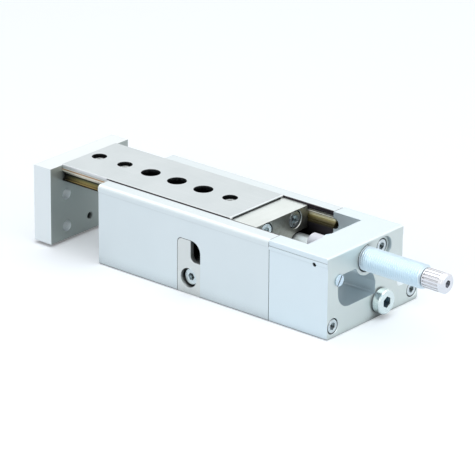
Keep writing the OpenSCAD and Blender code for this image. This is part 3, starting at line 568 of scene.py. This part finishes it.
# The plunger's bore, the bumper's pocket and the recess for the adjuster, as in the solid tube
bore_depth, bore_r = 36 * MM, 2.05 * MM
pocket_depth, pocket_r = 10.2 * MM, 5.2 * MM
recess_depth, recess_r = 6 * MM, 4 * MM
front_chamfer, rear_chamfer = 1.0 * MM, 0.8 * MM

steps = np.linspace(0, length, int(length / TUBE_PITCH * ROWS_PER_TURN) + 1)
outer_r = np.minimum(tube_r - front_chamfer + steps, tube_r - rear_chamfer + (length - steps))
bore_rows = [(bore_depth, 0, 0), (bore_depth, bore_r, 0), (pocket_depth, bore_r, 0),
             (pocket_depth, pocket_r, 0), (0, pocket_r, 0)]
thread_rows = np.column_stack([steps, np.minimum(tube_r, outer_r), np.ones_like(steps)])
recess_rows = [(length, recess_r, 0), (length - recess_depth, recess_r, 0), (length - recess_depth, 0, 0)]
rows = np.vstack([bore_rows, thread_rows, recess_rows])
tube = turned_skin("absorber_threaded_tube", rows, (tube_low.x, middle.y, middle.z), (1, 0, 0), zinc_thread,
                   "housing", TUBE_PITCH)
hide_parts("absorber_body")
print("threaded tube:", len(rows), "rows,", len(tube.data.polygons), "faces")

# %% [markdown]
# Each tapped hole gets a thin sleeve on its wall, with the thread on the inside and a small lead-in at both
# ends. The holes' places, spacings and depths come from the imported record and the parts' boxes.

# %% Threads in the tapped holes
SLEEVE = 0.02 * MM


def tapped(name, mouth, axis, depth, size, material, body):
    """The thread of one tapped hole, in a sleeve just inside its wall. mouth is where the hole opens, axis
    points out of it, and size gives its radius and pitch."""
    radius, pitch = size
    steps = np.linspace(depth, 0, int(depth / pitch * ROWS_PER_TURN) + 1)
    outside_r, inside_r = radius - SLEEVE, radius - 2 * SLEEVE
    thread_rows = np.column_stack([steps, np.full_like(steps, inside_r), np.ones_like(steps)])
    rows = np.vstack([[(0, outside_r, 0), (depth, outside_r, 0)], thread_rows])
    return turned_skin(name, rows, mouth, np.negative(axis), material, body, pitch,
                       inside=True, columns=40)


def mount(name):
    """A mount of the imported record, with its place pos_m in metres and its dims in millimetres."""
    return next(m for m in frame["record"]["mounts"] if m["name"] == name)


# The base holes end here, and the ports' threads begin below spot faces of this depth
BASE_DEPTH, SPOT_DEPTH = 10 * MM, 1.2 * MM
# The threads of the slide and of the two base holes at -Y begin below a centring bore
centring_depth = mount("base_centring_1")["dims"]["length_mm"] * MM

slide_low, slide_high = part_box("slide_table")
yoke_low, yoke_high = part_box("yoke_plate")
body_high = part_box("housing")[1]
sleeves = []

slide_row = mount("slide_bolts")
middle_x, half_row = slide_row["pos_m"][0], slide_row["dims"]["spacing_x_mm"] / 2 * MM
top = slide_high.z - centring_depth
for i, x in enumerate([middle_x - half_row, mount("slide_bolt_second")["pos_m"][0], middle_x + half_row]):
    sleeves.append(tapped(f"slide_thread_{i}", (x, 0, top), (0, 0, 1), top - slide_low.z, M6,
                          thread_steel, "slide"))

base_dims = mount("base_bolts")["dims"]
half_x, half_y = base_dims["spacing_x_mm"] / 2 * MM, base_dims["spacing_y_mm"] / 2 * MM
for i, (x, y) in enumerate([(-half_x, -half_y), (half_x, -half_y), (-half_x, half_y), (half_x, half_y)]):
    mouth = centring_depth if y < 0 else 0.0
    sleeves.append(tapped(f"base_thread_{i}", (x, y, mouth), (0, 0, -1), BASE_DEPTH - mouth, M6,
                          body_alloy, "housing"))

for name in ("port_front", "port_rear"):
    x, _, z = mount(name)["pos_m"]
    port_depth = mount(name)["dims"]["length_mm"] * MM
    sleeves.append(tapped(name + "_thread", (x, body_high.y - SPOT_DEPTH, z), (0, 1, 0), port_depth, M5,
                          body_alloy, "housing"))

_, y, z = mount("yoke_centre_hole")["pos_m"]
sleeves.append(tapped("yoke_centre_thread", (yoke_low.x, y, z), (-1, 0, 0), yoke_high.x - yoke_low.x, M5,
                      yoke_alloy, "slide"))
print("threads in", len(sleeves), "tapped holes")

# %% [markdown]
# ## The studio
#
# The part stands on a white floor under soft light. A bright sheet overhead makes the top faces the
# lightest, a large cool panel in front lights the long side, and a weaker one at the end keeps the rear face
# darker, so the edges of a nearly white part still read. The background is white only for the camera and for
# reflections. The light that falls on the part comes from the world's own softer level and the lamps, so the
# colours come out about as they are written.

# %% Floor and room
def flat_sheet(name, corners, material):
    """A sheet through four corners, which isn't part of the object."""
    mesh = bpy.data.meshes.new(name)
    mesh.from_pydata(corners, [], [(0, 1, 2, 3)])
    sheet = bpy.data.objects.new(name, mesh)
    bpy.context.scene.collection.objects.link(sheet)
    mesh.materials.append(material)


FLOOR_HALF = 3.0
FLOOR_DROP = 0.2 * MM
floor_paint, tree = empty_material("white_studio_floor")
# The camera sees the floor lifted to white, and everything else meets plain pale paper
rays = add_node(tree, "ShaderNodeLightPath")
paper = add_node(tree, "ShaderNodeBsdfDiffuse", {"Color": linear("#F4F7FA")})
lift = add_node(tree, "ShaderNodeEmission", {"Color": linear("#FFFFFF"), "Strength": 0.17})
lifted = add_node(tree, "ShaderNodeAddShader", {0: paper.outputs["BSDF"], 1: lift.outputs["Emission"]})
seen = add_node(tree, "ShaderNodeMixShader", {
    "Fac": rays.outputs["Is Camera Ray"], 1: paper.outputs["BSDF"], 2: lifted.outputs["Shader"]})
add_node(tree, "ShaderNodeOutputMaterial", {"Surface": seen.outputs["Shader"]})
floor_z = cad_low.z - FLOOR_DROP
flat_sheet("studio_floor", [
    (-FLOOR_HALF, -FLOOR_HALF, floor_z), (FLOOR_HALF, -FLOOR_HALF, floor_z),
    (FLOOR_HALF, FLOOR_HALF, floor_z), (-FLOOR_HALF, FLOOR_HALF, floor_z)], floor_paint)

world = bpy.data.worlds.new("studio_room")
bpy.context.scene.world = world
world.use_nodes = True
room = world.node_tree
room.nodes.clear()
# The camera, mirrors and glass see white, and the part is lit by a softer, slightly cool level
rays = add_node(room, "ShaderNodeLightPath")
mirrored = add_node(room, "ShaderNodeMath", {
    0: rays.outputs["Is Camera Ray"], 1: rays.outputs["Is Glossy Ray"]}, operation="MAXIMUM")
shown = add_node(room, "ShaderNodeMath", {
    0: mirrored.outputs["Value"], 1: rays.outputs["Is Transmission Ray"]}, operation="MAXIMUM")
soft = add_node(room, "ShaderNodeBackground", {"Color": linear("#E8F2FF"), "Strength": 0.25})
white = add_node(room, "ShaderNodeBackground", {"Color": linear("#FFFFFF"), "Strength": 1.0})
mixed = add_node(room, "ShaderNodeMixShader", {
    "Fac": shown.outputs["Value"], 1: soft.outputs["Background"], 2: white.outputs["Background"]})
add_node(room, "ShaderNodeOutputWorld", {"Surface": mixed.outputs["Shader"]})
print("floor at", round(floor_z / MM, 2), "mm")

# %% Lamps
def soft_panel(name, place, aim, size, power, tint):
    """A square area lamp at place that faces aim. Sizes are in metres and power in watts."""
    lamp = bpy.data.lights.new(name, "AREA")
    lamp.shape, lamp.size, lamp.energy, lamp.color = "SQUARE", size, power, linear(tint)[:3]
    holder = bpy.data.objects.new(name, lamp)
    bpy.context.scene.collection.objects.link(holder)
    holder.location = place
    holder.rotation_mode = "QUATERNION"
    holder.rotation_quaternion = (Vector(aim) - Vector(place)).to_track_quat("-Z", "Y")


soft_panel("overhead_sheet", (0.1, 0.1, 1.5), (0, 0, 0), 3.2, 33.2, "#FFFFFF")
soft_panel("cool_side_panel", (0.1, -1.6, 0.7), (0, 0, 0.02), 1.0, 8.6, "#F3FAFF")
soft_panel("end_panel", (1.6, 0.1, 0.5), (0, 0, 0.02), 0.8, 5.4, "#FFFFFF")

print("lamps:", [lamp.name for lamp in bpy.data.lights])

# %% [markdown]
# ## The camera
#
# Product pictures of small machine parts are taken with a long lens from a few metres away, so that
# parallel edges stay almost parallel. The camera looks down at about 22 degrees from the corner between the
# long side and the rear end. Its place follows from two angles, a small roll and a distance.

# %% Long-lens camera
AZIMUTH, ELEVATION, ROLL = math.radians(40.10), math.radians(21.96), math.radians(0.481)
DISTANCE = 2.0673
AIM = Vector((6.11, 8.08, 22.12)) * MM
LENS_MM = 274.4

back = Vector((
    math.sin(AZIMUTH) * math.cos(ELEVATION), -math.cos(AZIMUTH) * math.cos(ELEVATION), math.sin(ELEVATION)))
right = Vector((math.cos(AZIMUTH), math.sin(AZIMUTH), 0))
up = back.cross(right)
right, up = (
    right * math.cos(ROLL) + up * math.sin(ROLL), up * math.cos(ROLL) - right * math.sin(ROLL))
lens = bpy.data.cameras.new("long_lens")
lens.lens, lens.sensor_width = LENS_MM, 36.0
lens.clip_start, lens.clip_end = 0.1, 20.0
camera = bpy.data.objects.new("long_lens", lens)
bpy.context.scene.collection.objects.link(camera)
turned = Matrix((right, up, back)).transposed().to_4x4()
camera.matrix_world = Matrix.Translation(AIM + back * DISTANCE) @ turned
bpy.context.scene.camera = camera
bpy.context.scene.view_settings.view_transform = "Standard"
print("camera at", [round(c, 3) for c in camera.matrix_world.translation])
